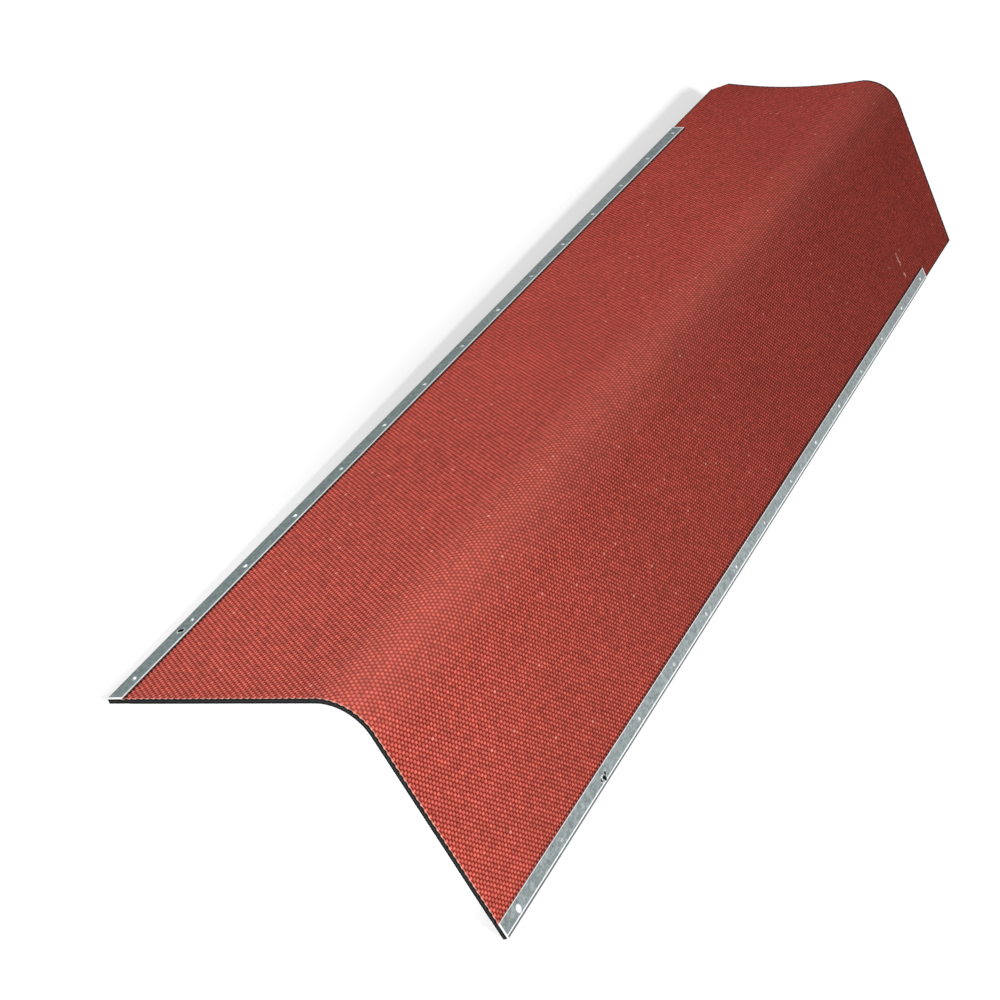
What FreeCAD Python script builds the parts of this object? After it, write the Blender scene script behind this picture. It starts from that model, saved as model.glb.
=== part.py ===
import FreeCAD, Part
import math
import os

os.makedirs("parts", exist_ok=True)

# Roof ridge cap: one bent sheet with a folded steel strip clinched on each long edge.
# X runs across the roof, Y along the ridge with the lap end at +Y, Z up from the floor.
# Lengths are in millimetres and angles in degrees.

# The sheet
ridge_length = 1000.0
wing_girth = 155.0
wing_angle = 107.0
ridge_radius = 32.0
sheet_thickness = 3.2
lap_end_slant = 17.0
corner_clip_along = 20.0
corner_clip_across = 10.0

# The steel edge strips, flush with the near end and short of the lap end
lap_length = 101.5
strip_width = 10.5
steel_thickness = 0.5
edge_gap = 0.3
pinch_depth = 0.15
pinch_margin = 0.2

# The crimps pressed into each strip
crimp_count = 15
crimp_first_margin = 20.0
crimp_last_margin = 14.0
crimp_diameter = 3.8
crimp_depth = 0.8
crimp_pocket_clearance = 0.1

# One pierced mark in each strip
pierced_diameter = 2.8
pierced_left_from_near_end = 70.0
pierced_right_crimp = 3
pierced_right_offset = 1.1

# Sizes that follow from those above; the near end is at Y 0 until the pieces are centred
slope = math.radians((180.0 - wing_angle) / 2.0)
slope_degrees = math.degrees(slope)
bend_girth = ridge_radius * slope
wing_straight = wing_girth - bend_girth
strip_length = ridge_length - lap_length
crimp_pitch = (strip_length - crimp_first_margin - crimp_last_margin) / (crimp_count - 1)
fold_inside = edge_gap
fold_outside = fold_inside + steel_thickness
strip_outer = edge_gap + steel_thickness
strip_inner = strip_outer - strip_width
grip_top = -pinch_depth
grip_low = pinch_depth - sheet_thickness
flange_top = grip_top + steel_thickness
flange_low = grip_low - steel_thickness
crimp_centre = strip_outer - strip_width / 2.0
fold_centre_x = strip_outer - fold_outside
fold_centre_low = flange_low + fold_outside
fold_centre_top = flange_top - fold_outside
crimp_radius = ((crimp_diameter / 2.0) ** 2 + crimp_depth ** 2) / (2.0 * crimp_depth)
stud_radius = (crimp_diameter + steel_thickness) / 2.0
stud_foot_radius = 0.6 * stud_radius

# The cut edge's top corner on the +X wing, set so that the strips touch the floor at Z 0
edge_x = ridge_radius * math.sin(slope) + wing_straight * math.cos(slope)
edge_z = fold_outside + fold_centre_x * math.sin(slope) - fold_centre_low * math.cos(slope)
bend_z = edge_z + wing_straight * math.sin(slope)
bend_x = ridge_radius * math.sin(slope)
bend_centre_z = bend_z - ridge_radius * math.cos(slope)


def point(x, z, y=0.0):
    return FreeCAD.Vector(x, y, z)


def wing_place(shape):
    """Carries a shape from the wing's own axes, origin at the cut edge's top corner, onto the +X wing."""
    placed = shape.copy()
    turn = FreeCAD.Rotation(FreeCAD.Vector(0, 1, 0), slope_degrees)
    placed.Placement = FreeCAD.Placement(point(edge_x, edge_z), turn).multiply(shape.Placement)
    return placed


def other_wing(shape):
    return shape.mirror(FreeCAD.Vector(0, 0, 0), FreeCAD.Vector(1, 0, 0))


def bent_sheet():
    inner_radius = ridge_radius - sheet_thickness
    drop_x = sheet_thickness * math.sin(slope)
    drop_z = sheet_thickness * math.cos(slope)
    top_edge = point(edge_x, edge_z)
    top_bend = point(bend_x, bend_z)
    top_ridge = point(0, bend_centre_z + ridge_radius)
    top_bend_left = point(-bend_x, bend_z)
    top_edge_left = point(-edge_x, edge_z)
    low_edge_left = point(-edge_x + drop_x, edge_z - drop_z)
    low_bend_left = point(-bend_x + drop_x, bend_z - drop_z)
    low_ridge = point(0, bend_centre_z + inner_radius)
    low_bend = point(bend_x - drop_x, bend_z - drop_z)
    low_edge = point(edge_x - drop_x, edge_z - drop_z)
    outline = Part.Wire([
        Part.makeLine(top_edge, top_bend),
        Part.Arc(top_bend, top_ridge, top_bend_left).toShape(),
        Part.makeLine(top_bend_left, top_edge_left),
        Part.makeLine(top_edge_left, low_edge_left),
        Part.makeLine(low_edge_left, low_bend_left),
        Part.Arc(low_bend_left, low_ridge, low_bend).toShape(),
        Part.makeLine(low_bend, low_edge),
        Part.makeLine(low_edge, top_edge),
    ])
    return Part.Face(outline).extrude(FreeCAD.Vector(0, ridge_length + 2.0 * lap_end_slant, 0))


def lap_end_offcut():
    """All that lies past the lap end's cut, which runs off square from the -X edge back to the +X edge."""
    reach = 1.2
    past = ridge_length + 3.0 * lap_end_slant
    outline = Part.makePolygon([
        point(-reach * edge_x, -edge_x, ridge_length + reach * lap_end_slant),
        point(reach * edge_x, -edge_x, ridge_length - reach * lap_end_slant),
        point(reach * edge_x, -edge_x, past),
        point(-reach * edge_x, -edge_x, past),
        point(-reach * edge_x, -edge_x, ridge_length + reach * lap_end_slant),
    ])
    return Part.Face(outline).extrude(FreeCAD.Vector(0, 0, 3.0 * edge_x))


def corner_clip():
    """The wedge cut off the lap end's corner on the -X wing, in the wing's own axes."""
    corner_y = ridge_length + lap_end_slant
    end_fall = corner_clip_across * math.cos(slope) * lap_end_slant / edge_x
    rise = corner_clip_along - end_fall
    outline = Part.makePolygon([
        point(corner_clip_across, -edge_x, corner_y - corner_clip_along - rise),
        point(corner_clip_across, -edge_x, corner_y + rise),
        point(-2.0 * corner_clip_across, -edge_x, corner_y - end_fall + rise),
        point(corner_clip_across, -edge_x, corner_y - corner_clip_along - rise),
    ])
    return Part.Face(outline).extrude(FreeCAD.Vector(0, 0, 2.0 * edge_x))


def pinched_band(low, high):
    """The band of a sheet face that a strip presses down, in the wing's own axes."""
    inner = strip_inner - pinch_margin
    length = strip_length + pinch_margin + strip_width
    return Part.makeBox(strip_width - inner, length, high - low, point(inner, low, -strip_width))


def folded_strip():
    """The strip's folded section in the wing's own axes, run along its length."""
    fold_mid = math.sqrt(0.5)

    def fold_point(radius, centre_z, across, up):
        return point(fold_centre_x + radius * across, centre_z + radius * up)

    def fold_arc(radius, centre_z, up):
        start = fold_point(radius, centre_z, 0, up)
        middle = fold_point(radius, centre_z, fold_mid, up * fold_mid)
        return Part.Arc(start, middle, fold_point(radius, centre_z, 1, 0)).toShape()

    top_free = point(strip_inner, flange_top)
    top_free_inside = point(strip_inner, grip_top)
    low_free = point(strip_inner, flange_low)
    low_free_inside = point(strip_inner, grip_low)
    outline = Part.Wire(Part.__sortEdges__([
        Part.makeLine(top_free, fold_point(fold_outside, fold_centre_top, 0, 1)),
        fold_arc(fold_outside, fold_centre_top, 1),
        Part.makeLine(
            fold_point(fold_outside, fold_centre_top, 1, 0),
            fold_point(fold_outside, fold_centre_low, 1, 0),
        ),
        fold_arc(fold_outside, fold_centre_low, -1),
        Part.makeLine(fold_point(fold_outside, fold_centre_low, 0, -1), low_free),
        Part.makeLine(low_free, low_free_inside),
        Part.makeLine(low_free_inside, fold_point(fold_inside, fold_centre_low, 0, -1)),
        fold_arc(fold_inside, fold_centre_low, -1),
        Part.makeLine(
            fold_point(fold_inside, fold_centre_low, 1, 0),
            fold_point(fold_inside, fold_centre_top, 1, 0),
        ),
        fold_arc(fold_inside, fold_centre_top, 1),
        Part.makeLine(fold_point(fold_inside, fold_centre_top, 0, 1), top_free_inside),
        Part.makeLine(top_free_inside, top_free),
    ]))
    return Part.Face(outline).extrude(FreeCAD.Vector(0, strip_length, 0))


def crimp_ball():
    """The round punch's nose at full depth in a strip's top flange, at Y 0."""
    centre = point(crimp_centre, flange_top - crimp_depth + crimp_radius)
    return Part.makeSphere(crimp_radius, centre)


def crimp_stud(grow):
    """The eight-sided stud that the punch drives down into the sheet, swollen by grow, at Y 0."""
    def ring(radius, z):
        turns = [math.radians(45.0 * corner) for corner in range(9)]
        return [point(crimp_centre + radius * math.cos(turn), z, radius * math.sin(turn)) for turn in turns]

    top = ring(stud_radius + grow, (flange_top + grip_top) / 2.0)
    foot = ring(stud_foot_radius + grow, flange_top - crimp_depth - steel_thickness - grow)
    faces = [Part.Face(Part.makePolygon(top)), Part.Face(Part.makePolygon(foot))]
    for corner in range(8):
        side = [top[corner], top[corner + 1], foot[corner + 1], foot[corner], top[corner]]
        faces.append(Part.Face(Part.makePolygon(side)))
    return Part.makeSolid(Part.makeShell(faces))


def crimp_y(number):
    return crimp_first_margin + (number - 1) * crimp_pitch


def along_strip(shape):
    copies = []
    for number in range(1, crimp_count + 1):
        copy = shape.copy()
        copy.translate(FreeCAD.Vector(0, crimp_y(number), 0))
        copies.append(copy)
    return copies


def pierced_mark(x, y):
    foot = point(x, flange_top - 2.0 * crimp_depth, y)
    return Part.makeCylinder(pierced_diameter / 2.0, 3.0 * crimp_depth, foot)


crimp_hollows = along_strip(crimp_ball())
crimp_studs = along_strip(crimp_stud(0.0))
crimp_pockets = along_strip(crimp_stud(crimp_pocket_clearance))

strip = folded_strip().fuse(crimp_studs).cut(crimp_hollows).removeSplitter()
strip_right = strip.cut(pierced_mark(crimp_centre + pierced_right_offset, crimp_y(pierced_right_crimp)))
strip_left = strip.cut(pierced_mark(crimp_centre, pierced_left_from_near_end))

pressed = [
    pinched_band(grip_top, strip_width),
    pinched_band(-strip_width, grip_low),
]
hollows = [wing_place(shape) for shape in pressed + crimp_pockets]
sheet = bent_sheet().cut(lap_end_offcut()).cut(other_wing(wing_place(corner_clip())))
sheet = sheet.cut(hollows).cut([other_wing(hollow) for hollow in hollows])

pieces = {
    "ridge_sheet": sheet,
    "edge_strip_right": wing_place(strip_right),
    "edge_strip_left": other_wing(wing_place(strip_left)),
}
middle = Part.makeCompound(list(pieces.values())).BoundBox.Center
for name, shape in pieces.items():
    solid = shape.Solids[0]
    solid.translate(FreeCAD.Vector(0, -middle.y, 0))
    solid.exportStep("parts/" + name + ".step")
    print(name, len(shape.Solids), solid.isValid(), round(solid.Volume), solid.BoundBox)
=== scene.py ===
import math

import bmesh
import bpy
import numpy as np
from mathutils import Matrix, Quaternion, Vector


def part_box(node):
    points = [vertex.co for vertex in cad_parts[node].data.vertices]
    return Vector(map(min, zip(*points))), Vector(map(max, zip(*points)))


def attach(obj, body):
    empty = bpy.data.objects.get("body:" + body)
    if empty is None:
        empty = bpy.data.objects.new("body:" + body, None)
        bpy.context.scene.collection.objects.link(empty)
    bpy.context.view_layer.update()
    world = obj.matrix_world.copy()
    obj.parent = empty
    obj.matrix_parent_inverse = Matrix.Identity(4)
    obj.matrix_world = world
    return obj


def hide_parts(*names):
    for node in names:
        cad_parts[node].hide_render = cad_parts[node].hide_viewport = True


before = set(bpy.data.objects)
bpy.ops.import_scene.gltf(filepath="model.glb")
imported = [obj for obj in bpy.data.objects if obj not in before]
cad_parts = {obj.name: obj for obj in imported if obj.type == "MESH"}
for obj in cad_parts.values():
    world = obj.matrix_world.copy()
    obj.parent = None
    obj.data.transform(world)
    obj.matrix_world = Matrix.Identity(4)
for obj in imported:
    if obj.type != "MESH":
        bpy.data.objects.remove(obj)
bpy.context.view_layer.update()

# Sizes in metres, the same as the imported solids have
mm = 0.001
wing_girth = 155.0 * mm
slope = math.radians(36.5)
ridge_radius = 32.0 * mm
sheet_thickness = 3.2 * mm
ridge_length = 1000.0 * mm
lap_end_slant = 17.0 * mm
corner_clip_along = 20.0 * mm
corner_clip_across = 10.0 * mm
strip_width = 10.5 * mm
steel_thickness = 0.5 * mm
edge_gap = 0.3 * mm
pinch_depth = 0.15 * mm
crimp_count = 15
crimp_first_margin = 20.0 * mm
crimp_last_margin = 14.0 * mm
crimp_diameter = 3.8 * mm
crimp_depth = 0.8 * mm

# The woven face: knuckles in staggered rows, the lowest a share of the full height
weave_along = 3.6 * mm
weave_across_count = 75
weave_height = 0.66 * mm
lowest_knuckle = 0.72
weave_columns = 2 * weave_across_count
column_step = 2.0 * wing_girth / weave_columns
row_step = weave_along / 2.0

# The smooth hem along the lap end's cut
hem_width = 1.5 * row_step
hem_drop = 0.2 * weave_height

# The sheet pressed flat in a strip's fold, and its hollows under the crimps and pierced marks
seat_depth = 1.15 * pinch_depth
mark_reach = 3.4 * mm
mark_depth = 1.3 * mm

# The groove along a strip's free edge, which the knuckles fill in part
groove_width = 0.7 * column_step
groove_depth = 0.75 * mm
groove_on_knuckle = 0.45

# Depth of the right strip's groove as a share of the left one's, which also sets the darkness of its
# painted shadow: at the near end, and from mid length on
right_groove_near = 0.5
right_groove_far = 0.95

# Slack of the thin sheet as it lies on its right edge: the lap end is twisted up a little on the left,
# its ridge leans right and, past a share of the length, its left wing sags between ridge and edge
lap_twist = 0.06
ridge_lean = 9.0 * mm
wing_sag = 5.0 * mm
sag_start = 0.6

sheet_low, sheet_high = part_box("ridge_sheet")
near_end = sheet_low.y
lap_end = near_end + ridge_length
bend_centre_z = sheet_high.z - ridge_radius
strip_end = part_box("edge_strip_left")[1].y
strip_outer = edge_gap + steel_thickness
strip_inner_girth = wing_girth + strip_outer - strip_width
crimp_girth = wing_girth + strip_outer - strip_width / 2.0
crimp_pitch = (strip_end - near_end - crimp_first_margin - crimp_last_margin) / (crimp_count - 1)
crimp_rows = [near_end + crimp_first_margin + crimp_pitch * number for number in range(crimp_count)]

# Finish of the steel, from 0 for painted black shade and dark reflection to 1 for bright zinc, partly
# worn bright and partly painted highlight
painted_black_finish = 0.05
painted_dark_finish = 0.15
dull_finish = 0.5
lip_finish = 0.75
edge_finish = 0.85
end_finish = 0.95
bright_finish = 1.0

# How far a crimp's bright patch, partly zinc worn bright by the punch and partly a painted highlight,
# reaches from its centre, and over what length it fades
crimp_shine_reach = 1.8 * mm
first_right_shine_reach = 2.8 * mm
crimp_shine_fade = 0.8 * mm

# The lip that a piercing point throws up round its mark
burr_height = 0.3 * mm
burr_width = 0.9 * mm

# Pierced marks in the strips: place along the cap, place across from the crimps' line, radius
pierced_left = [(near_end + 70.0 * mm, 0.0, 1.8 * mm)]
pierced_right = [
    (crimp_rows[2] + 1.5 * mm, 1.7 * mm, 1.5 * mm),
    (crimp_rows[2] - 2.5 * mm, 0.7 * mm, 1.0 * mm),
    (crimp_rows[2] + 3.8 * mm, -0.3 * mm, 0.9 * mm),
]


def section_place(girth, height):
    """Across and up of points at a girth from the ridge line and a height off the sheet's top face."""
    bend_girth = ridge_radius * slope
    bent = np.clip(girth, -bend_girth, bend_girth)
    run = girth - bent
    turn = bent / ridge_radius
    reach = ridge_radius + height
    across = reach * np.sin(turn) + run * np.cos(turn)
    up = bend_centre_z + reach * np.cos(turn) - np.abs(run * np.sin(turn))
    return across, up


def bend_over_ridge(mesh):
    """Bends a flat mesh, girth in X and height in Z, over the ridge, and lets its lap end go slack."""
    flat = np.empty(len(mesh.vertices) * 3)
    mesh.vertices.foreach_get("co", flat)
    girth, along, height = flat.reshape(-1, 3).T.copy()
    bend_girth = ridge_radius * slope
    wing_share = np.clip((-girth - bend_girth) / (wing_girth - bend_girth), 0.0, 1.0)
    length_share = (along - near_end) / ridge_length
    lap_share = np.clip(length_share - sag_start, 0.0, None) / (1.0 - sag_start)
    sag = wing_sag * np.sin(math.pi * wing_share) * lap_share ** 2
    across, up = section_place(girth, height - sag)
    across += ridge_lean * length_share * up / sheet_high.z
    inward = sheet_high.x - across
    turn = lap_twist * length_share
    across = sheet_high.x - inward * np.cos(turn) + up * np.sin(turn)
    up = up * np.cos(turn) + inward * np.sin(turn)
    mesh.vertices.foreach_set("co", np.column_stack([across, along, up]).ravel())
    mesh.update()


def finished_piece(name, bm, sharp_degrees):
    mesh = bpy.data.meshes.new(name)
    bm.to_mesh(mesh)
    bm.free()
    bend_over_ridge(mesh)
    mesh.shade_smooth()
    mesh.set_sharp_from_angle(angle=math.radians(sharp_degrees))
    piece = bpy.data.objects.new(name, mesh)
    bpy.context.scene.collection.objects.link(piece)
    return piece


def pressed_by_strip(girth, along):
    return abs(girth) > strip_inner_girth and along < strip_end


def beside_strip(girth, along):
    """Whether a place on the sheet is in the groove along a strip's free edge."""
    return strip_inner_girth - groove_width < abs(girth) <= strip_inner_girth and along < strip_end


def near_mark(girth, along):
    """Whether a place on the sheet lies under a crimp or a pierced mark."""
    marks = [(row, 0.0) for row in crimp_rows]
    marks += [(row, across) for row, across, radius in (pierced_right if girth > 0 else pierced_left)]
    aside = abs(girth) - crimp_girth
    return any(math.hypot(along - row, aside - across) < mark_reach for row, across in marks)


def lap_cut(girth):
    """Place along the cap of the slanted cut that ends the lap, at a girth from the ridge line."""
    return lap_end - lap_end_slant * girth / wing_girth


def make_woven_sheet():
    """The sheet, woven flat with a knuckle at every other grid point, trimmed, thickened, then bent."""
    rows = math.ceil((ridge_length + lap_end_slant) / row_step)
    bm = bmesh.new()
    bmesh.ops.create_grid(bm, x_segments=weave_columns, y_segments=rows, size=0.5)
    bmesh.ops.scale(bm, vec=(2.0 * wing_girth, rows * row_step, 1.0), verts=bm.verts)
    bmesh.ops.translate(bm, vec=(0.0, near_end + rows * row_step / 2.0, 0.0), verts=bm.verts)
    valleys = []
    weave_place = bm.verts.layers.float_vector.new("weave_place")
    uneven = np.random.default_rng(5).uniform(lowest_knuckle, 1.0, len(bm.verts))
    for vert, rise in zip(bm.verts, uneven):
        girth, along = vert.co.x, vert.co.y
        column = round((girth + wing_girth) / column_step)
        row = round((along - near_end) / row_step)
        knuckle = (column + row) % 2 == 0
        if not knuckle:
            valleys.append(vert)
        vert.co.z = weave_height * (rise - 0.5) if knuckle else -weave_height / 2.0
        if lap_cut(girth) - along < hem_width:
            vert.co.z = -hem_drop
        sunk = 0.0
        if beside_strip(girth, along):
            sunk = groove_on_knuckle if knuckle else 1.0
            if girth > 0.0:
                sunk *= np.interp(along, (near_end, 0.0), (right_groove_near, right_groove_far))
            vert.co.z = -groove_depth * sunk
        if pressed_by_strip(girth, along):
            vert.co.z = -mark_depth if near_mark(girth, along) else -seat_depth
        vert[weave_place] = (column, row, sunk)
    bmesh.ops.connect_verts(bm, verts=valleys)
    trim_lap_end(bm)
    rim = [edge for edge in bm.edges if edge.is_boundary]
    skirt = bmesh.ops.extrude_edge_only(bm, edges=rim)["geom"]
    low_verts = [part for part in skirt if isinstance(part, bmesh.types.BMVert)]
    low_edges = [part for part in skirt if isinstance(part, bmesh.types.BMEdge) and part.is_boundary]
    for vert in low_verts:
        edge_zone = abs(vert.co.x) > wing_girth - strip_width - column_step
        vert.co.z = seat_depth - sheet_thickness if edge_zone else -sheet_thickness
        vert[weave_place].z = -1.0
    underside = bmesh.ops.holes_fill(bm, edges=low_edges, sides=0)["faces"]
    divide_underside(bm, underside)
    top_low = -sheet_thickness / 2.0
    for face in bm.faces:
        black = min(vert.co.z for vert in face.verts) < top_low
        middle = face.calc_center_median()
        if not black and pressed_by_strip(middle.x, middle.y):
            black = near_mark(middle.x, middle.y)
        face.material_index = 1 if black else 0
    bmesh.ops.recalc_face_normals(bm, faces=bm.faces)
    return finished_piece("woven_sheet", bm, sharp_degrees=50.0)


def trim_lap_end(bm):
    """Cuts the flat sheet's lap end off at its slant and clips its left corner."""
    def cut(place, facing):
        bmesh.ops.bisect_plane(
            bm, geom=bm.verts[:] + bm.edges[:] + bm.faces[:], dist=1e-7,
            plane_co=place, plane_no=facing, clear_outer=True,
        )

    cut((0.0, lap_end, 0.0), (lap_end_slant / wing_girth, 1.0, 0.0))
    on_edge = Vector((-wing_girth, lap_cut(-wing_girth) - corner_clip_along, 0.0))
    end_girth = corner_clip_across - wing_girth
    on_end = Vector((end_girth, lap_cut(end_girth), 0.0))
    clip_line = on_end - on_edge
    cut(on_edge, (-clip_line.y, clip_line.x, 0.0))


def divide_underside(bm, underside):
    """Splits the plain underside into patches that can follow the bend, the strips and the slack."""
    wing_patch = 5
    row_patch = 10
    bend_columns = math.ceil(ridge_radius * slope / column_step) + 1
    strip_column = math.ceil((wing_girth - strip_width) / column_step)
    columns = set(range(-bend_columns, bend_columns + 1))
    for column in (*range(bend_columns, strip_column, wing_patch), strip_column - 1, strip_column):
        columns.update((-column, column))
    cuts = [((column * column_step, 0.0, 0.0), (1.0, 0.0, 0.0)) for column in sorted(columns)]
    last_row = math.floor(ridge_length / row_step)
    for row in range(row_patch, last_row, row_patch):
        cuts.append(((0.0, near_end + row * row_step, 0.0), (0.0, 1.0, 0.0)))
    for place, facing in cuts:
        edges = dict.fromkeys(edge for face in underside for edge in face.edges)
        verts = dict.fromkeys(vert for edge in edges for vert in edge.verts)
        cut = bmesh.ops.bisect_plane(
            bm, geom=[*verts, *edges, *underside], dist=1e-7, plane_co=place, plane_no=facing,
        )
        underside = [part for part in cut["geom"] if isinstance(part, bmesh.types.BMFace)]


def make_folded_strip(name, side, pierced):
    """A steel ribbon with its crimps pressed in, folded round one long edge of the sheet."""
    fold_radius = strip_outer
    fold_girth = fold_radius * math.pi / 2.0
    flange = strip_width - fold_radius
    top = steel_thickness - pinch_depth
    low = pinch_depth - sheet_thickness - steel_thickness
    web = top - low - 2.0 * fold_radius
    ends = np.cumsum([0.0, flange, fold_girth, web, fold_girth, flange])
    span_steps = (19, 6, 2, 5, 4)
    widths = [np.linspace(a, b, steps + 1) for a, b, steps in zip(ends[:-1], ends[1:], span_steps)]
    # Lines on both sides of each change of finish, from the free edge and from the fold
    widths.append(np.array([0.4, 0.6, 0.9, 1.1]) * mm)
    widths.append(flange - np.array([1.6, 1.45, 0.85, 0.7]) * mm)
    widths = np.unique(np.concatenate(widths).round(6))
    around_mark = np.linspace(-3.2, 3.2, 17) * mm
    rows = []
    for inset in (0.0, 0.7 * mm, 1.4 * mm):
        rows.extend((near_end + inset, strip_end - inset))
    for row in crimp_rows + [row for row, across, radius in pierced]:
        rows.extend(row + around_mark)
    rows.extend(row + crimp_pitch * share for row in crimp_rows[:-1] for share in (0.25, 0.5, 0.75))
    lengths = np.unique(np.array(rows).round(5))

    bm = bmesh.new()
    bmesh.ops.create_grid(bm, x_segments=len(widths) - 1, y_segments=len(lengths) - 1, size=0.5)
    for vert in bm.verts:
        vert.co.x = widths[round((vert.co.x + 0.5) * (len(widths) - 1))]
        vert.co.y = lengths[round((vert.co.y + 0.5) * (len(lengths) - 1))]
    zinc_wear_and_light = bm.verts.layers.float.new("zinc_wear_and_light")
    # Each crimp's bright patch is partly zinc worn bright by the punch and partly a painted highlight,
    # its strength drawn at random.
    faintest_shine = 0.45 if side < 0 else 0.55
    crimp_shine = np.random.default_rng(int(4 + side)).uniform(faintest_shine, 1.0, crimp_count)
    # The first two crimps are as bright as the photo shows them
    crimp_shine[:2] = (0.45, 0.25) if side < 0 else (1.0, 0.35)
    crimp_width = flange + fold_radius - strip_width / 2.0
    for row, across, radius in pierced:
        pierce(bm, Vector((crimp_width + across, row, 0.0)), radius)
    for vert in bm.verts:
        width, along = vert.co.x, vert.co.y
        lift = 0.0
        finish = strip_finish(side, width, along, flange)
        if width < flange:
            away = [math.hypot(width - crimp_width, along - row) for row in crimp_rows]
            nearest = away.index(min(away))
            lift = crimp_dent(away[nearest])
            reach = first_right_shine_reach if side > 0 and nearest == 0 else crimp_shine_reach
            fade = min(1.0, max(0.0, (reach - away[nearest]) / crimp_shine_fade))
            shine = crimp_shine[nearest] * fade
            finish = max(finish, dull_finish + (bright_finish - dull_finish) * shine)
            for row, across, radius in pierced:
                from_rim = math.hypot(width - crimp_width - across, along - row) - radius
                lift += burr(from_rim)
                finish = pierced_finish(from_rim, finish)
        vert[zinc_wear_and_light] = finish
        outward, height = fold_place(width, lift, flange, fold_radius, web, top)
        vert.co.x = side * (wing_girth + outward)
        vert.co.z = height
    bm.normal_update()
    flange_face = next(face for face in bm.faces if face.calc_center_median().z > 0.9 * top)
    if flange_face.normal.z < 0.0:
        bmesh.ops.reverse_faces(bm, faces=bm.faces)
    bmesh.ops.solidify(bm, geom=bm.faces[:], thickness=steel_thickness)
    return finished_piece(name, bm, sharp_degrees=40.0)


def crimp_dent(distance):
    """Height of the flange at a distance from a crimp's centre: a ball's dent with a soft lip."""
    half = crimp_diameter / 2.0
    ball = (half * half + crimp_depth * crimp_depth) / (2.0 * crimp_depth)
    lip_inside = 0.85 * half
    lip_outside = 1.25 * half
    if distance >= lip_outside:
        return 0.0
    if distance >= lip_inside:
        edge = math.sqrt(ball * ball - lip_inside ** 2) - (ball - crimp_depth)
        fade = (lip_outside - distance) / (lip_outside - lip_inside)
        return -edge * fade * fade
    return -(math.sqrt(ball * ball - distance * distance) - (ball - crimp_depth))


def burr(from_rim):
    """Height of the lip that a piercing point throws up round its mark."""
    rise = 1.0 - from_rim / burr_width
    return burr_height * max(0.0, min(1.0, rise)) ** 2


def strip_finish(side, width, along, flange):
    """How bright a strip's surface is painted at a place across and along it, from painted black shade
    on and along the fold to painted highlights on its cut ends, free edge and the right strip's fold.
    """
    to_fold = flange - width
    # Painted highlight on the strip's cut ends.
    if min(along - near_end, strip_end - along) < 1.0 * mm:
        return end_finish
    # Painted black shade and dark reflection on the fold, the web and the underside.
    if to_fold < 0.0:
        return painted_black_finish
    # Left strip: a painted highlight on the free edge, partly a bright sheared edge, and a painted dark
    # reflection just short of the fold.
    if side < 0:
        if width < 1.0 * mm:
            return edge_finish
        return painted_dark_finish if to_fold < 0.9 * mm else dull_finish
    # Right strip: a painted highlight on the free edge, partly a bright sheared edge, painted black
    # shade just short of the fold, then a painted highlight where the fold turns.
    if width < 0.5 * mm:
        return edge_finish
    if to_fold < 0.8 * mm:
        return painted_black_finish
    return bright_finish if to_fold < 1.5 * mm else dull_finish


def pierced_finish(from_rim, finish):
    """Painted black shade round the rim of a pierced mark, then a painted highlight on the lip it threw
    up.
    """
    if from_rim < 0.35 * mm:
        return painted_dark_finish
    return max(finish, lip_finish) if from_rim < 0.8 * mm else finish


def pierce(bm, centre, radius):
    """Opens a round hole in the flat ribbon."""
    gone = [face for face in bm.faces if (face.calc_center_median() - centre).length < radius]
    touched = {vert for face in gone for vert in face.verts}
    rim = [vert for vert in touched if not set(gone).issuperset(vert.link_faces)]
    bmesh.ops.delete(bm, geom=gone, context="FACES")
    for vert in rim:
        vert.co = centre + (vert.co - centre).normalized() * radius


def fold_place(width, lift, flange, radius, web, top):
    """Where a point of the flat ribbon goes when it is folded: out from the sheet's edge, and height."""
    arc = radius * math.pi / 2.0
    low = top - 2.0 * radius - web
    if width <= flange:
        return width - flange, top + lift
    width -= flange
    if width <= arc:
        turn = width / radius
        return radius * math.sin(turn), top - radius + radius * math.cos(turn)
    width -= arc
    if width <= web:
        return radius, top - radius - width
    width -= web
    if width <= arc:
        turn = width / radius
        return radius * math.cos(turn), low + radius - radius * math.sin(turn)
    return arc - width, low


def new_material(name):
    material = bpy.data.materials.new(name)
    material.use_nodes = True
    return material, material.node_tree.nodes, material.node_tree.links


def object_place(nodes):
    return nodes.new("ShaderNodeTexCoord").outputs["Object"]


def noise(nodes, links, place, scale, detail=2.0, stretch=None):
    """A noise texture over the piece, drawn out along an axis by a stretch."""
    texture = nodes.new("ShaderNodeTexNoise")
    texture.inputs["Scale"].default_value = scale
    texture.inputs["Detail"].default_value = detail
    if stretch:
        mapping = nodes.new("ShaderNodeMapping")
        mapping.inputs["Scale"].default_value = stretch
        links.new(place, mapping.inputs["Vector"])
        place = mapping.outputs["Vector"]
    links.new(place, texture.inputs["Vector"])
    return texture.outputs["Fac"]


def ramp(nodes, links, value, stops):
    """A colour ramp with the given (place, colour) stops; a single number is a grey."""
    band = nodes.new("ShaderNodeValToRGB")
    elements = band.color_ramp.elements
    while len(elements) < len(stops):
        elements.new(0.5)
    for element, (place, colour) in zip(elements, stops):
        element.position = place
        if not isinstance(colour, tuple):
            colour = (colour, colour, colour)
        element.color = (*colour, 1.0)
    links.new(value, band.inputs["Fac"])
    return band.outputs["Color"]


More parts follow.
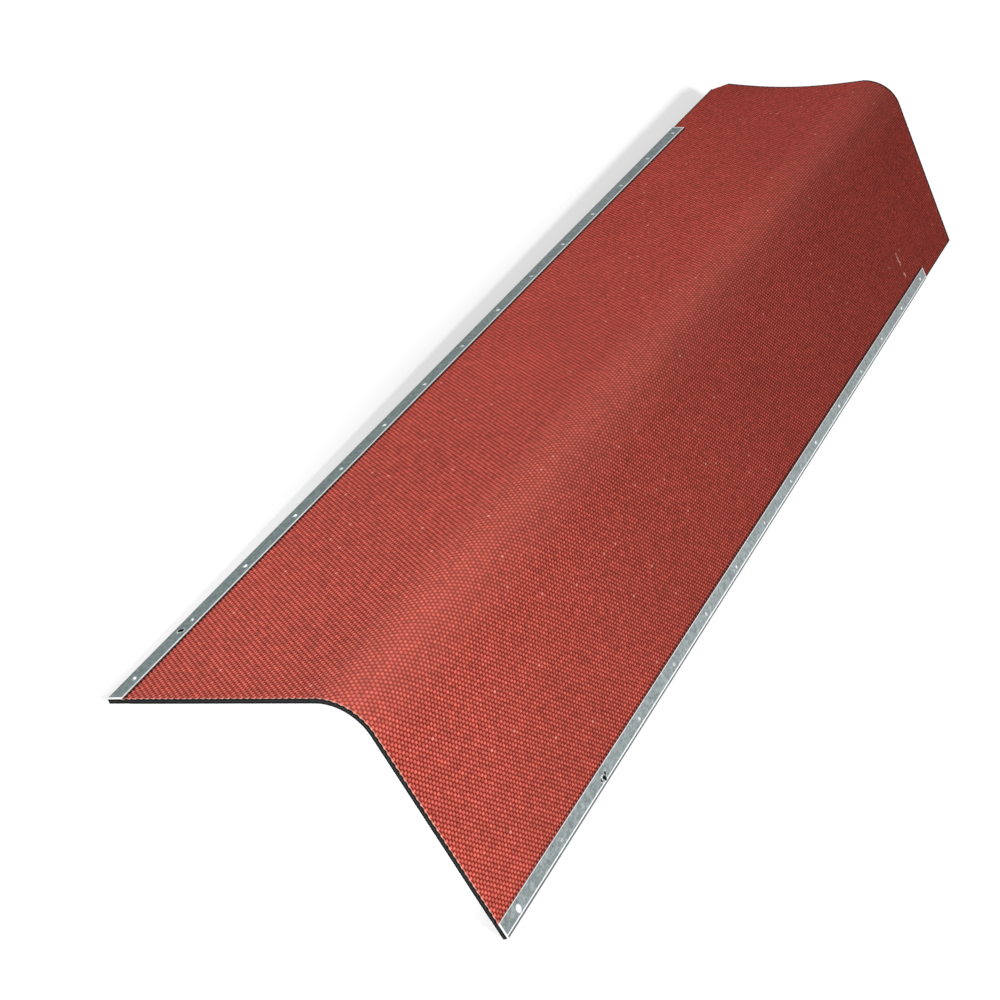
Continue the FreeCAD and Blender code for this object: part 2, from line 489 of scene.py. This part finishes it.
def blend(nodes, links, kind, share, first, second):
    """Mixes two colours; share, first and second are sockets or plain values."""
    mix = nodes.new("ShaderNodeMix")
    mix.data_type = "RGBA"
    mix.blend_type = kind
    for socket, value in ((mix.inputs[0], share), (mix.inputs[6], first), (mix.inputs[7], second)):
        if isinstance(value, bpy.types.NodeSocket):
            links.new(value, socket)
        else:
            socket.default_value = value if isinstance(value, float) else (*value, 1.0)
    return mix.outputs[2]


def bump(nodes, links, shader, height, distance, strength):
    node = nodes.new("ShaderNodeBump")
    node.inputs["Distance"].default_value = distance
    node.inputs["Strength"].default_value = strength
    links.new(height, node.inputs["Height"])
    links.new(node.outputs["Normal"], shader.inputs["Normal"])


def calculate(nodes, links, operation, *values):
    """A math node; each value is a socket or a plain number."""
    node = nodes.new("ShaderNodeMath")
    node.operation = operation
    for socket, value in zip(node.inputs, values):
        if isinstance(value, bpy.types.NodeSocket):
            links.new(value, socket)
        else:
            socket.default_value = value
    return node.outputs["Value"]


def red_woven_paint():
    """Red mineral paint on a plain weave, with a painted highlight on each thread's knuckle and painted
    shade between the threads.
    """
    material, nodes, links = new_material("red_woven_paint")
    shader = nodes["Principled BSDF"]
    place = object_place(nodes)

    weave = nodes.new("ShaderNodeAttribute")
    weave.attribute_name = "weave_place"
    split = nodes.new("ShaderNodeSeparateXYZ")
    links.new(weave.outputs["Vector"], split.inputs["Vector"])
    column_place, row_place, sunk = split.outputs
    thread = calculate(nodes, links, "ROUND", column_place)
    aside = calculate(nodes, links, "SUBTRACT", column_place, thread)
    round_thread = calculate(nodes, links, "COSINE", calculate(nodes, links, "MULTIPLY", aside, math.pi))
    stagger = calculate(nodes, links, "ADD", row_place, thread)
    wave = calculate(nodes, links, "COSINE", calculate(nodes, links, "MULTIPLY", stagger, math.pi))
    over = calculate(nodes, links, "MULTIPLY_ADD", wave, 0.5, 0.5)
    knuckle = calculate(nodes, links, "MULTIPLY", round_thread, over)
    # Painted light and shade: the knuckle tops are painted pale as if lit, and the gaps between threads
    # near black as if in shade.
    colour = ramp(nodes, links, knuckle, [
        (0.0, (0.150, 0.0020, 0.0010)),
        (0.05, (0.233, 0.0180, 0.0106)),
        (0.18, (0.323, 0.0425, 0.0294)),
        (0.42, (0.432, 0.0730, 0.0526)),
        (0.90, (0.592, 0.1180, 0.0870)),
    ])

    knuckle_number = nodes.new("ShaderNodeCombineXYZ")
    links.new(thread, knuckle_number.inputs["X"])
    pair = calculate(nodes, links, "ROUND", calculate(nodes, links, "MULTIPLY", stagger, 0.5))
    links.new(pair, knuckle_number.inputs["Y"])
    chance = nodes.new("ShaderNodeTexWhiteNoise")
    chance.noise_dimensions = "2D"
    links.new(knuckle_number.outputs["Vector"], chance.inputs["Vector"])
    uneven = ramp(nodes, links, chance.outputs["Value"], [(0.0, 0.84), (1.0, 1.14)])
    colour = blend(nodes, links, "MULTIPLY", 1.0, colour, uneven)
    drift = ramp(nodes, links, noise(nodes, links, place, 9.0, 3.0), [(0.3, 0.93), (0.7, 1.06)])
    colour = blend(nodes, links, "MULTIPLY", 1.0, colour, drift)
    grain = ramp(nodes, links, noise(nodes, links, place, 420.0, 4.0), [(0.3, 0.74), (0.7, 1.26)])
    colour = blend(nodes, links, "MULTIPLY", 1.0, colour, grain)

    # Painted sheen: paler and pinker towards the near end, deeper red towards the lap end.
    sheen_along_length = ramp(nodes, links, calculate(nodes, links, "DIVIDE", row_place, ridge_length / row_step), [
        (0.05, (1.0, 1.13, 1.16)),
        (0.95, (0.97, 0.84, 0.84)),
    ])
    colour = blend(nodes, links, "MULTIPLY", 1.0, colour, sheen_along_length)

    # Paler over the ridge's bend: partly paint drawn thin over the bend, partly a painted highlight on
    # the ridge top.
    bend_columns = ridge_radius * slope / column_step
    from_ridge = calculate(nodes, links, "ABSOLUTE",
                           calculate(nodes, links, "SUBTRACT", column_place, float(weave_across_count)))
    stretched_and_lit = ramp(nodes, links, calculate(nodes, links, "DIVIDE", from_ridge, 1.6 * bend_columns),
                     [(0.1, 0.22), (1.0, 0.0)])
    pale_red = (0.600, 0.150, 0.117)
    colour = blend(nodes, links, "MIX", stretched_and_lit, colour, pale_red)
    # Painted shadow: the groove along each strip's free edge is darkened almost to black, more between
    # the knuckles than on them.
    groove = ramp(nodes, links, sunk, [(0.05, 1.0), (0.68, 0.09)])
    colour = blend(nodes, links, "MULTIPLY", 1.0, colour, groove)

    bare_fibre_and_highlight = (0.800, 0.400, 0.330)
    # Rare pale specks on the knuckle tops: partly bare fibre, partly painted glints.
    speck = calculate(nodes, links, "GREATER_THAN", chance.outputs["Value"], 0.9975)
    speck = calculate(nodes, links, "MULTIPLY", speck, calculate(nodes, links, "MULTIPLY", knuckle, 0.6))
    colour = blend(nodes, links, "MIX", speck, colour, bare_fibre_and_highlight)
    scratched = scuff(nodes, links, column_place, row_place, place)
    colour = blend(nodes, links, "MIX", scratched, colour, bare_fibre_and_highlight)
    colour = blend(nodes, links, "MIX", near_lip(nodes, links, place), colour, bare_fibre_and_highlight)
    # A near-black band along the lap end's cut and the bare long edges.
    lap_lip_dark = (0.020, 0.006, 0.005)
    colour = blend(nodes, links, "MIX", lap_lip(nodes, links, column_place, row_place), colour, lap_lip_dark)

    links.new(colour, shader.inputs["Base Color"])
    shader.inputs["Roughness"].default_value = 0.72
    shader.inputs["Specular IOR Level"].default_value = 0.1
    bump(nodes, links, shader, knuckle, 0.4 * mm, 0.5)
    return material


def scuff(nodes, links, column_place, row_place, place):
    """Share of bare fibre in the two scratches across the right wing, short of the lap."""
    from_near_end = 858.2 * mm
    half_rows = 0.9
    at_row = calculate(nodes, links, "COMPARE", row_place, from_near_end / row_step, half_rows)
    scratches = []
    for girth, half_length in ((118.4 * mm, 6.0 * mm), (133.8 * mm, 2.2 * mm)):
        column = (girth + wing_girth) / column_step
        half_columns = half_length / column_step
        scratches.append(calculate(nodes, links, "COMPARE", column_place, column, half_columns))
    along_scratch = calculate(nodes, links, "MAXIMUM", *scratches)
    at_scratch = calculate(nodes, links, "MULTIPLY", at_row, along_scratch)
    patchy = ramp(nodes, links, noise(nodes, links, place, 300.0), [(0.38, 0.35), (0.6, 1.0)])
    return calculate(nodes, links, "MULTIPLY", at_scratch, patchy)


def near_lip(nodes, links, place):
    """Share of pale colour along the lip of the near end's cut: partly frayed paint, partly a painted
    highlight on the edge.
    """
    split = nodes.new("ShaderNodeSeparateXYZ")
    links.new(place, split.inputs["Vector"])
    from_cut = calculate(nodes, links, "SUBTRACT", split.outputs["Y"], near_end)
    lip_width = 1.2 * mm
    worn = calculate(nodes, links, "DIVIDE", from_cut, lip_width)
    return ramp(nodes, links, worn, [(0.4, 0.75), (1.0, 0.0)])


def lap_lip(nodes, links, column_place, row_place):
    """Share of near-black colour along the lap end's cut and the bare long edges."""
    from_ridge = calculate(nodes, links, "SUBTRACT", column_place, float(weave_across_count))
    slant_rows = lap_end_slant / wing_girth * column_step / row_step
    cut_row = calculate(nodes, links, "MULTIPLY_ADD", from_ridge, -slant_rows, ridge_length / row_step)
    rows_to_cut = calculate(nodes, links, "SUBTRACT", cut_row, row_place)
    to_cut = calculate(nodes, links, "MULTIPLY", rows_to_cut, row_step)
    aside = calculate(nodes, links, "ABSOLUTE", from_ridge)
    to_edge = calculate(nodes, links, "MULTIPLY_ADD", aside, -column_step, wing_girth)
    cut_lip_width, edge_lip_width = 4.0 * mm, 1.6 * mm
    cut_lip = calculate(nodes, links, "DIVIDE", to_cut, cut_lip_width)
    edge_lip = calculate(nodes, links, "DIVIDE", to_edge, edge_lip_width)
    nearest_lip = calculate(nodes, links, "MINIMUM", cut_lip, edge_lip)
    return ramp(nodes, links, nearest_lip, [(0.5, 1.0), (1.0, 0.0)])


def black_bitumen():
    """The bitumen-soaked fibre that shows at the cut edges and underneath."""
    material, nodes, links = new_material("black_bitumen")
    shader = nodes["Principled BSDF"]
    place = object_place(nodes)
    colour = ramp(nodes, links, noise(nodes, links, place, 500.0, 4.0), [
        (0.35, (0.0020, 0.0024, 0.0026)),
        (0.75, (0.0120, 0.0135, 0.0140)),
    ])
    weave = nodes.new("ShaderNodeAttribute")
    weave.attribute_name = "weave_place"
    split = nodes.new("ShaderNodeSeparateXYZ")
    links.new(weave.outputs["Vector"], split.inputs["Vector"])
    depth = calculate(nodes, links, "ABSOLUTE", split.outputs["Z"])
    ply_seam = ramp(nodes, links, depth, [(0.36, 0.0), (0.5, 0.8), (0.64, 0.0)])
    grey_fibre = (0.045, 0.047, 0.046)
    colour = blend(nodes, links, "MIX", ply_seam, colour, grey_fibre)
    links.new(colour, shader.inputs["Base Color"])
    shader.inputs["Roughness"].default_value = 0.7
    shader.inputs["Specular IOR Level"].default_value = 0.06
    bump(nodes, links, shader, noise(nodes, links, place, 700.0, 4.0), 0.2 * mm, 0.6)
    return material


def galvanised_steel(name, zinc_dark, zinc_pale):
    """Dull zinc with a fine spangle, pale where worn bright and where painted highlights lie, near black
    where painted shade and dark reflection lie.
    """
    material, nodes, links = new_material(name)
    shader = nodes["Principled BSDF"]
    place = object_place(nodes)
    spangle = nodes.new("ShaderNodeTexVoronoi")
    spangle.inputs["Scale"].default_value = 420.0
    links.new(place, spangle.inputs["Vector"])
    flake = nodes.new("ShaderNodeSeparateColor")
    links.new(spangle.outputs["Color"], flake.inputs["Color"])
    zinc = ramp(nodes, links, flake.outputs["Red"], [(0.0, zinc_dark), (1.0, zinc_pale)])
    streak = ramp(nodes, links, noise(nodes, links, place, 700.0, 3.0, (1.0, 0.6, 1.0)), [
        (0.3, 0.76),
        (0.7, 1.22),
    ])
    dull = blend(nodes, links, "MULTIPLY", 1.0, zinc, streak)
    finish_map = nodes.new("ShaderNodeAttribute")
    finish_map.attribute_name = "zinc_wear_and_light"
    # Pale zinc for painted highlights and zinc worn bright; near black for painted shade and dark
    # reflections on the fold.
    bright_zinc = (0.800, 0.820, 0.825)
    shade_black = (0.030, 0.034, 0.034)
    out_of_shade = ramp(nodes, links, finish_map.outputs["Fac"], [(painted_black_finish, 0.0), (0.9 * dull_finish, 1.0)])
    bright = ramp(nodes, links, finish_map.outputs["Fac"], [(dull_finish, 0.0), (end_finish, 1.0)])
    colour = blend(nodes, links, "MIX", out_of_shade, shade_black, dull)
    colour = blend(nodes, links, "MIX", bright, colour, bright_zinc)
    links.new(colour, shader.inputs["Base Color"])
    shader.inputs["Metallic"].default_value = 0.85
    rough = ramp(nodes, links, flake.outputs["Green"], [(0.0, 0.36), (1.0, 0.5)])
    links.new(rough, shader.inputs["Roughness"])
    bump(nodes, links, shader, noise(nodes, links, place, 900.0, 2.0), 0.05 * mm, 0.4)
    return material


def seen_ray(nodes, links):
    """1 for rays that show a surface to the eye, directly or in metal, and 0 for those that light it."""
    path = nodes.new("ShaderNodeLightPath")
    direct, glossy = path.outputs["Is Camera Ray"], path.outputs["Is Glossy Ray"]
    seen = calculate(nodes, links, "MAXIMUM", direct, glossy)
    return calculate(nodes, links, "MAXIMUM", seen, path.outputs["Is Transmission Ray"])


def pale_floor():
    """White studio floor that keeps the cap's shadow."""
    half_size = 12.0
    grey = 0.60
    glow_strength = 0.57
    bm = bmesh.new()
    bmesh.ops.create_grid(bm, x_segments=1, y_segments=1, size=half_size)
    mesh = bpy.data.meshes.new("studio_floor")
    bm.to_mesh(mesh)
    bm.free()
    floor = bpy.data.objects.new("studio_floor", mesh)
    bpy.context.scene.collection.objects.link(floor)
    material, nodes, links = new_material("studio_white")
    shader = nodes["Principled BSDF"]
    shader.inputs["Base Color"].default_value = (grey, grey, grey, 1.0)
    shader.inputs["Roughness"].default_value = 0.9
    shader.inputs["Specular IOR Level"].default_value = 0.0
    white = nodes.new("ShaderNodeEmission")
    glow = calculate(nodes, links, "MULTIPLY", seen_ray(nodes, links), glow_strength)
    links.new(glow, white.inputs["Strength"])
    both = nodes.new("ShaderNodeAddShader")
    links.new(shader.outputs["BSDF"], both.inputs[0])
    links.new(white.outputs["Emission"], both.inputs[1])
    links.new(both.outputs["Shader"], nodes["Material Output"].inputs["Surface"])
    mesh.materials.append(material)
    return floor


def hang_lamp(lamp, place, way, lit_pieces):
    """Hangs a lamp at a place, shining a given way, with its light on the given pieces alone."""
    holder = bpy.data.objects.new(lamp.name, lamp)
    holder.location = place
    holder.rotation_mode = "QUATERNION"
    holder.rotation_quaternion = way.to_track_quat("-Z", "Y")
    holder.visible_camera = False
    bpy.context.scene.collection.objects.link(holder)
    lit = bpy.data.collections.new(lamp.name + "_lights")
    for piece in lit_pieces:
        lit.objects.link(piece)
    holder.light_linking.receiver_collection = lit


def soft_lamp(name, place, aim, size, watts, lit_pieces):
    """A round soft lamp at a place, turned towards its aim."""
    lamp = bpy.data.lights.new(name, "AREA")
    lamp.shape = "DISK"
    lamp.size = size
    lamp.energy = watts
    hang_lamp(lamp, place, Vector(aim) - Vector(place), lit_pieces)


def floor_light(floor):
    """Light for the floor alone: a low sun from the right that throws the cap's soft shadow to the left,
    and a spot from the front that reaches under the near end."""
    sun = bpy.data.lights.new("floor_sun", "SUN")
    sun.energy = 3.0
    sun.angle = math.radians(11.0)
    sun_turn, sun_height = math.radians(8.0), math.radians(33.8)
    sun_way = Vector((-math.cos(sun_turn), math.sin(sun_turn), -math.tan(sun_height)))
    hang_lamp(sun, (1.0, 0.0, 1.0), sun_way, [floor])
    spot = bpy.data.lights.new("near_end_spot", "SPOT")
    spot.energy = 25.0
    spot.spot_size = math.radians(26.0)
    spot.spot_blend = 0.25
    spot.shadow_soft_size = 0.05
    spot_place, spot_aim = Vector((0.0, -0.95, 0.28)), Vector((0.0, -0.46, 0.0))
    hang_lamp(spot, spot_place, spot_aim - spot_place, [floor])


def studio_light(sheet, strips):
    """Even white surroundings, two lamps for the cap, front right and left, and one for the steel."""
    world = bpy.data.worlds.new("studio_world")
    bpy.context.scene.world = world
    world.use_nodes = True
    nodes, links = world.node_tree.nodes, world.node_tree.links
    sky = nodes["Background"]
    sky.inputs["Color"].default_value = (1.0, 1.0, 1.0, 1.0)
    sky.inputs["Strength"].default_value = 0.29
    backdrop = nodes.new("ShaderNodeBackground")
    backdrop.inputs["Color"].default_value = (1.0, 1.0, 1.0, 1.0)
    backdrop.inputs["Strength"].default_value = 1.0
    mix = nodes.new("ShaderNodeMixShader")
    links.new(seen_ray(nodes, links), mix.inputs["Fac"])
    links.new(sky.outputs["Background"], mix.inputs[1])
    links.new(backdrop.outputs["Background"], mix.inputs[2])
    links.new(mix.outputs["Shader"], nodes["World Output"].inputs["Surface"])
    cap = [sheet, *strips]
    soft_lamp("front_lamp", (0.50, -1.15, 0.60), (0.0, -0.4, 0.05), 0.35, 14.3, cap)
    soft_lamp("left_lamp", (-1.3, -0.5, 0.6), (0.0, -0.2, 0.05), 0.6, 17.1, cap)
    soft_lamp("strip_lamp", (1.0, 0.9, 0.45), (0.12, 0.0, 0.0), 0.8, 1.6, strips)


def photo_camera():
    """Stands where the photograph was taken from, turned on its axis as the photograph is."""
    camera = bpy.data.cameras.new("photo_camera")
    camera.lens = 77.65
    holder = bpy.data.objects.new("photo_camera", camera)
    place = Vector((0.1812, -1.2984, 0.8630))
    aim = Vector((-0.0223, -0.2263, 0.0400))
    roll = Quaternion((0.0, 0.0, 1.0), math.radians(22.92))
    holder.location = place
    holder.rotation_mode = "QUATERNION"
    holder.rotation_quaternion = (aim - place).to_track_quat("-Z", "Y") @ roll
    bpy.context.scene.collection.objects.link(holder)
    bpy.context.scene.camera = holder


woven_sheet = make_woven_sheet()
woven_sheet.data.materials.append(red_woven_paint())
woven_sheet.data.materials.append(black_bitumen())
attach(woven_sheet, "root")
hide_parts("ridge_sheet")

strip_left = make_folded_strip("folded_strip_left", -1.0, pierced_left)
# One steel in two copies: the left strip's zinc is painted darker as shade, the right strip's paler as
# light.
strip_left.data.materials.append(
    galvanised_steel("galvanised_steel_painted_shade", (0.092, 0.126, 0.126), (0.146, 0.190, 0.190)))
strip_right = make_folded_strip("folded_strip_right", 1.0, pierced_right)
strip_right.data.materials.append(
    galvanised_steel("galvanised_steel_painted_light", (0.180, 0.212, 0.214), (0.270, 0.306, 0.312)))
for strip, node in ((strip_left, "edge_strip_left"), (strip_right, "edge_strip_right")):
    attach(strip, "root")
    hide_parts(node)

floor = pale_floor()
floor_light(floor)
studio_light(woven_sheet, [strip_left, strip_right])
photo_camera()
bpy.context.scene.view_settings.view_transform = "Standard"
